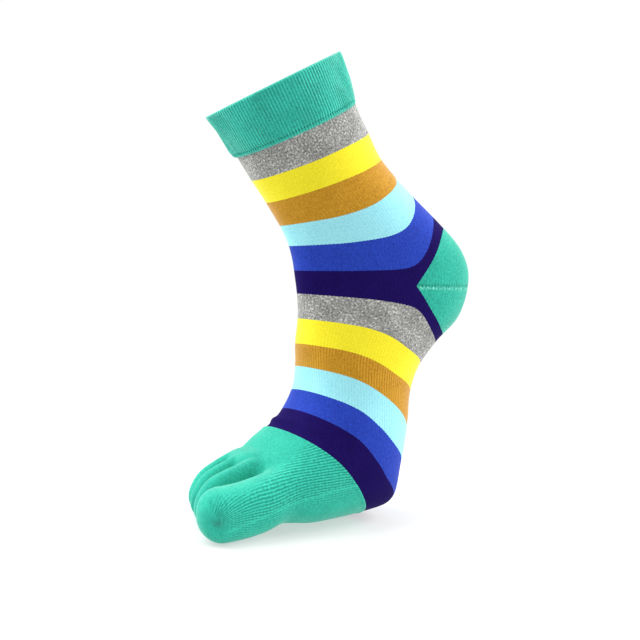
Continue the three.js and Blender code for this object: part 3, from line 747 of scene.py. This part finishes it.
def web_grid():
    """The knit stretched between the toes' roots: sections from the big toe to the little one,
    of signed powers of cosine and sine, so that the clefts between the toes deepen slowly."""
    across = np.linspace(0, 1, 40)[:, None]
    turn = np.radians(np.linspace(0, 360, 97))
    scale = np.sqrt(np.clip(1 - np.abs(2 * across - 1) ** 3, 0, 1))
    power = 1 - WEB_SQUARE * ease((across - 0.22) / 0.15)
    x = WEB_X + WEB_RUN_X * across + WEB_AHEAD * scale * signed_power(np.cos(turn), power)
    y = WEB_Y + WEB_RUN_Y * across + 0 * turn
    middle = WEB_Z - WEB_SINK * across**2 + WEB_LIFT * ease((across - 0.08) / 0.2)
    z = middle + WEB_HIGH * scale * signed_power(np.sin(turn), power)
    return closed_grid(np.stack(np.broadcast_arrays(x, y, z), -1)[1:-1])


def read_points(mesh):
    """The places of a mesh's points, a row for each, in millimetres."""
    flat = np.empty(len(mesh.vertices) * 3)
    mesh.vertices.foreach_get("co", flat)
    return flat.reshape(-1, 3) / MM


def write_points(mesh, points):
    """Puts places in millimetres into a mesh."""
    mesh.vertices.foreach_set("co", (points * MM).astype(np.float32).ravel())
    mesh.update()


def relax(points, edges, share, weight, rounds):
    """Moves every point towards the mean of its neighbours, by a weight times its own share,
    several times."""
    count = np.bincount(edges.ravel(), minlength=len(points))[:, None]
    a, b = edges.T
    for _ in range(rounds):
        total = np.stack([
            np.bincount(a, points[b, axis], len(points)) + np.bincount(b, points[a, axis], len(points))
            for axis in range(3)
        ], 1)
        points = points + (total / count - points) * (weight * share)
    return points


CELL = 0.94  # size of the cells in which ball, webs and toes are fused

# Weight and rounds of relaxing: the whole skin, which takes off the cells' steps, then the webs,
# the joint where the big toe leaves the ball, and the crease under that joint
SKIN_RELAXED, WEBS_RELAXED, JOINT_RELAXED, CREASE_RELAXED = (0.5, 2), (0.5, 14), (0.6, 128), (0.6, 50)
WEBS_X, WEBS_WIDTH, WEBS_LOW, WEBS_FADE = -24, 14, -282, 10  # where the webs are, and above which height
JOINT_X, JOINT_WIDTH, JOINT_Y, JOINT_FADE = -20, 16, -38, 9  # where the joint is, and beside which line
CREASE, CREASE_WIDTH = (-21, -54, -293), 10

# Small dents and swells on the toes: where, which way and how wide
KNUCKLES = [
    ((-34, -31, -252), (0, 0, 0.8), 6), ((-28, -36, -256), (0, 0, 1.8), 6),
    ((-44, -20, -256), (0, 0, -1.5), 4), ((-44, -5, -256), (0, 0, -1.2), 4),
    ((-18, -55, -294), (0, -0.6, -2.2), 8), ((-23, -53, -294), (0, -0.4, -1.8), 5),
    ((-10, -60, -293), (0, 0.3, 0.8), 7),
]


def near_place(points, place, wide):
    """A share for every point: the exponential of minus its squared distance over the width."""
    return np.exp(-((points - np.array(place, float)) ** 2).sum(1) / wide**2)[:, None]


def sculpt(points, touches):
    """Moves the skin round a few places, each by its own move, which fades off as a bell."""
    for place, move, wide in touches:
        points = points + near_place(points, place, wide) * np.array(move, float)
    return points


def fused_toes():
    """The ball and toes as one skin: the closed forms are fused in small cells. The webs between
    the toes, and the joint and crease under the big toe, are then relaxed, with weights that
    fade off as bells, until they run into each other."""
    forms = [ball_grid(), web_grid(), *(toe_grid(name) for name in TOES)]
    obj = mesh_of("knit_toe_section", forms, merge=0.01)
    cells = obj.modifiers.new("fuse", "REMESH")
    cells.mode = "VOXEL"
    cells.voxel_size = CELL * MM
    apply_modifiers(obj)
    mesh = obj.data
    points = read_points(mesh)
    ends = np.empty(len(mesh.edges) * 2, np.int32)
    mesh.edges.foreach_get("vertices", ends)
    edges = ends.reshape(-1, 2)
    points = relax(points, edges, 1.0, *SKIN_RELAXED)
    x, y, z = points.T
    webs = bell(x, WEBS_X, WEBS_WIDTH) * np.clip((z - WEBS_LOW) / WEBS_FADE, 0, 1)
    joint = bell(x, JOINT_X, JOINT_WIDTH) * ease((JOINT_Y - y) / JOINT_FADE)
    points = relax(points, edges, webs[:, None], *WEBS_RELAXED)
    points = relax(points, edges, joint[:, None], *JOINT_RELAXED)
    points = sculpt(points, KNUCKLES)
    points = relax(points, edges, near_place(points, CREASE, CREASE_WIDTH), *CREASE_RELAXED)
    write_points(mesh, points)
    return obj


CUT_SNAP = 0.02  # points this close to the cut are taken as lying on it


def trim_to_edge(obj):
    """Cuts the skin along its first course. Measured from that course, the edge is a plane, so
    the skin is laid out that way, cut at the plane and laid back."""
    centre, forward, sideways, along, depth, half, _, _ = ring_frame(np.array(TOE_SECTION_START))
    axes = np.stack([along, sideways, forward])
    fine = np.linspace(0, 360, 721)
    line = form_point(course_distance(np.full(fine.shape, TOE_SECTION_START), fine, True), fine)
    local = (line - centre) @ axes.T
    around = np.degrees(np.arctan2(local[:, 1] / half, local[:, 2] / depth)) % 360
    order = np.argsort(around)

    def edge_height(flat):
        turn = np.degrees(np.arctan2(flat[:, 1] / half, flat[:, 2] / depth)) % 360
        return np.interp(turn, around[order], local[order, 0], period=360)

    flat = (read_points(obj.data) - centre) @ axes.T
    flat[:, 0] -= edge_height(flat)
    write_points(obj.data, flat)
    bm = bmesh.new()
    bm.from_mesh(obj.data)
    everything = bm.verts[:] + bm.edges[:] + bm.faces[:]
    bmesh.ops.bisect_plane(
        bm, geom=everything, dist=CUT_SNAP * MM, plane_co=(HAIRLINE * MM, 0, 0), plane_no=(-1, 0, 0),
        clear_outer=True,
    )
    bm.to_mesh(obj.data)
    bm.free()
    flat = read_points(obj.data)
    near_edge = flat[:, 0].copy()
    flat[:, 0] += edge_height(flat)
    write_points(obj.data, flat @ axes + centre)
    return near_edge


# Stitches of the toe section. The ball's columns are counted along an ellipse about its middle,
# and the big toe's along a circle about a line that turns outwards as the toe does.
BALL_Y, BALL_Z, BALL_WIDE, BALL_HIGH, BALL_PITCH = -24.0, -270.0, 45.0, 30.0, 1.75
BIG_TOE_Y, BIG_TOE_TURN, BIG_TOE_Z, BIG_TOE_RADIUS, BIG_TOE_PITCH = -56.4, 12.5, -277, 14, 1.85
CLEFT_Y = -42.5  # middle of the cleft beside the big toe
TOE_ROW = 2.6  # height of a row of the drawn-out stitches here

# Heights of the ribbing's lower edge and of the line where it is joined on, at places towards the tips
LOW_EDGE = [-22, 9, 30, 48, 65, 73], [-266, -272, -275, -280, -283, -281]
JOIN_LINE = [-11, 21, 47, 73], [-268, -273, -278, -284]
LIP, LIP_WIDTH = 0.5, 1.1  # the rolled edge against the last stripe


def toe_stitches(x, y, z):
    """Stitch counts of the toe section: columns round the ball and the big toe, which go over
    into each other along the foot, and rows from the ball to the tips."""
    turn = np.arctan2((z - BALL_Z) / BALL_HIGH, -(y - BALL_Y) / BALL_WIDE)
    lap = np.linspace(-np.pi, np.pi, 721)
    steps = np.hypot(np.diff(BALL_WIDE * np.cos(lap)), np.diff(BALL_HIGH * np.sin(lap)))
    length = np.concatenate([[0], np.cumsum(steps)])
    ball_wale = (np.interp(turn, lap, length) - length[360]) / BALL_PITCH
    big_y = BIG_TOE_Y - BIG_TOE_TURN * np.clip((-45 - x) / 32, 0, 1) ** 1.5
    big_turn = np.arctan2(z - BIG_TOE_Z, -(y - big_y))
    big_wale = big_turn * BIG_TOE_RADIUS / BIG_TOE_PITCH
    reach = ease((-4 - x) / 40)
    wale = ball_wale * (1 - reach) + np.where(y < CLEFT_Y, big_wale, ball_wale) * reach
    return np.stack([wale, -x / TOE_ROW], 1)


def ribbing_share(x, y, z):
    """How strongly the ribs show, as bumps and as painted shade in their grooves: in full on the inner
    side and the top of the ball and the big toe, less in a zone under that, and along the top of the
    second toe."""
    top_edge = -56 - 11.5 * ease((-15 - x) / 45)
    over_edge = z - np.interp(-x, *LOW_EDGE)
    down = np.maximum(ease((over_edge + 2) / 5), 0.45 * ease((over_edge + 9) / 5))
    inner = ease((top_edge + 5 - y) / 9) * ease((x + 84) / 7) * down
    second = bell(x, -42, 15) * bell(y, -35, 5) * ease((z + 276) / 8) * (y > CLEFT_Y)
    return np.maximum(inner, 0.6 * second)


def join_share(x, y, z):
    """How light the join under the ribbing is: a bell across its line, on the inner side only."""
    return bell(z, np.interp(-x, *JOIN_LINE), 0.8) * ease((-52 - y) / 6) * ease((x + 76) / 5)


def toe_section():
    """The fused skin with its edge rolled outwards, its stitches laid out on the mesh, and the
    shares of ribbing and join kept as attributes for its yarn."""
    obj = fused_toes()
    near_edge = trim_to_edge(obj)
    mesh = obj.data
    points = read_points(mesh)
    normals = np.empty(len(mesh.vertices) * 3)
    mesh.vertices.foreach_get("normal", normals)
    lip = LIP * bell(near_edge, 0.9, LIP_WIDTH)
    write_points(mesh, points + normals.reshape(-1, 3) * lip[:, None])
    corners = np.empty(len(mesh.loops), np.int32)
    mesh.loops.foreach_get("vertex_index", corners)
    knit = mesh.uv_layers.new(name="knit") if not mesh.uv_layers else mesh.uv_layers[0]
    knit.name = "knit"
    knit.data.foreach_set("uv", toe_stitches(*points.T)[corners].astype(np.float32).ravel())
    for label, share in (("ribbing", ribbing_share), ("join", join_share)):
        attribute = mesh.attributes.new(label, "FLOAT", "POINT")
        attribute.data.foreach_set("value", share(*points.T).astype(np.float32))
    give_thickness(obj)
    return dress(obj, TEAL_TOES, "teal_yarn", "toe_section", *TOES)


# Putting it together

cuff()
stripes("leg", LEG_STRIPES, CUFF_HEIGHT)
ankle_band()
heel_pocket()
stripes("foot", FOOT_STRIPES, FOOT_START)
toe_section()

# Stage, light and camera, in metres

AIM = Vector((22.25, -24, -160.5)) * MM
AZIMUTH, ELEVATION, FAR = np.radians(-28), np.radians(12), 1.0
FOCAL_LENGTH, PICTURE_WIDTH, SENSOR_WIDTH = 1449.3, 640, 36  # pixels, pixels and millimetres
BACK = Vector((
    np.sin(AZIMUTH) * np.cos(ELEVATION), -np.cos(AZIMUTH) * np.cos(ELEVATION), np.sin(ELEVATION),
))
RIGHT = Vector((np.cos(AZIMUTH), np.sin(AZIMUTH), 0))
UP = BACK.cross(RIGHT)


def studio_point(right, up, back):
    """A place given from the middle of the picture along the camera's own directions, in metres."""
    return AIM + RIGHT * right + UP * up + BACK * back


def softbox(name, place, size, power):
    """A round area light that faces the sock."""
    data = bpy.data.lights.new(name, "AREA")
    data.shape = "DISK"
    data.size = size
    data.energy = power
    lamp = bpy.data.objects.new(name, data)
    bpy.context.scene.collection.objects.link(lamp)
    lamp.location = place
    lamp.rotation_mode = "QUATERNION"
    lamp.rotation_quaternion = (place - AIM).to_track_quat("Z", "Y")


softbox("left_softbox", studio_point(-1.1, 0.7, -0.1), 1.0, 12)
softbox("right_softbox", studio_point(1.1, 0.6, -0.15), 1.0, 16)
softbox("top_softbox", studio_point(-0.45, 1.3, 0.3), 1.2, 14)


# The paper sweep. The toes' and the ball's undersides rest on one plane, which falls to +X by
# the tilt, in degrees. The gap keeps it off the sock.
FLOOR_TILT, FLOOR_GAP = 4.5, 0.0005
SWEEP_NEAR, SWEEP_FAR, SWEEP_HALF_WIDTH, SWEEP_RADIUS, SWEEP_TOP = -1.6, 1.2, 3.5, 0.9, 3.0
SHADE_RADIUS, GLOW_FADE, LEAST_GLOW = 0.2, 0.25, 0.5  # paper glows least inside, and more farther off
PAPER_MIDDLE = (0.02, -0.02, -0.3)  # the place under the sock about which that is measured


def backdrop(name, height):
    """A paper sweep: flat under the sock, then curved up in a quarter circle behind it. Its
    profile runs away from the camera, and every point is the profile's point moved sideways."""
    turn = np.linspace(0, np.pi / 2, 25)
    flat = np.linspace(SWEEP_NEAR, SWEEP_FAR, 29)[:-1]
    back = np.concatenate([flat, SWEEP_FAR + SWEEP_RADIUS * np.sin(turn), [SWEEP_FAR + SWEEP_RADIUS]])
    rise = np.concatenate([0 * flat, SWEEP_RADIUS - SWEEP_RADIUS * np.cos(turn), [SWEEP_TOP]])
    wide = np.linspace(-SWEEP_HALF_WIDTH, SWEEP_HALF_WIDTH, 57)[:, None]
    ahead = -np.array(BACK) * [1, 1, 0] / np.cos(ELEVATION)
    points = ahead * back[:, None, None] + np.array(RIGHT) * wide + [0, 0, 1] * rise[:, None, None]
    points[..., 2] -= np.tan(np.radians(FLOOR_TILT)) * points[..., 0]
    points += [AIM.x, AIM.y, height]
    rows, columns = points.shape[:2]
    corner = grid_corners(rows, columns)
    quads = np.stack([corner, corner + 1, corner + columns + 1, corner + columns], 1)
    mesh = bpy.data.meshes.new(name)
    mesh.from_pydata(points.reshape(-1, 3).tolist(), [], quads.tolist())
    mesh.shade_smooth()
    sweep = bpy.data.objects.new(name, mesh)
    bpy.context.scene.collection.objects.link(sweep)
    return sweep


def glowing_paper():
    """White paper that takes shadows near the sock and glows white farther off: the glow's share
    grows with the distance from the middle."""
    paper = Finish("white paper")
    place = paper.node("ShaderNodeTexCoord", {}, {}, "Object")
    grain = paper.node("ShaderNodeTexNoise", {}, {"Vector": place, "Scale": 40.0}, "Fac")
    tint = paper.mix(grain, (0.8, 0.8, 0.8, 1), (0.83, 0.83, 0.83, 1))
    plain = paper.node("ShaderNodeBsdfPrincipled", {}, {
        "Base Color": tint, "Roughness": 0.8, "Specular IOR Level": 0.1,
    })
    glow = paper.node("ShaderNodeEmission", {}, {"Color": (1, 1, 1, 1), "Strength": 1.02})
    middle = paper.node("ShaderNodeVectorMath", {"operation": "SUBTRACT"}, {0: place, 1: PAPER_MIDDLE})
    far = paper.node("ShaderNodeVectorMath", {"operation": "LENGTH"}, {0: middle}, "Value")
    share = ((far - SHADE_RADIUS) / GLOW_FADE + 0.5).math("MAXIMUM", LEAST_GLOW).clamped()
    surface = paper.node("ShaderNodeMixShader", {}, {0: share, 1: plain, 2: glow})
    paper.node("ShaderNodeOutputMaterial", {}, {"Surface": surface})
    return paper.material


paper_sweep = backdrop("paper_sweep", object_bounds()[0][2] - FLOOR_GAP)
paper_sweep.data.materials.append(glowing_paper())

world = bpy.data.worlds.new("studio")
bpy.context.scene.world = world
world.use_nodes = True
background = world.node_tree.nodes["Background"]
background.inputs["Color"].default_value = (1, 1, 1, 1)
background.inputs["Strength"].default_value = 0.68

camera_data = bpy.data.cameras.new("camera")
camera_data.sensor_width = SENSOR_WIDTH
camera_data.lens = FOCAL_LENGTH / PICTURE_WIDTH * SENSOR_WIDTH
camera_data.clip_start, camera_data.clip_end = 0.01, 50
camera = bpy.data.objects.new("camera", camera_data)
bpy.context.scene.collection.objects.link(camera)
camera.location = AIM + BACK * FAR
camera.rotation_mode = "QUATERNION"
camera.rotation_quaternion = BACK.to_track_quat("Z", "Y")
bpy.context.scene.camera = camera
bpy.context.scene.view_settings.view_transform = "Standard"
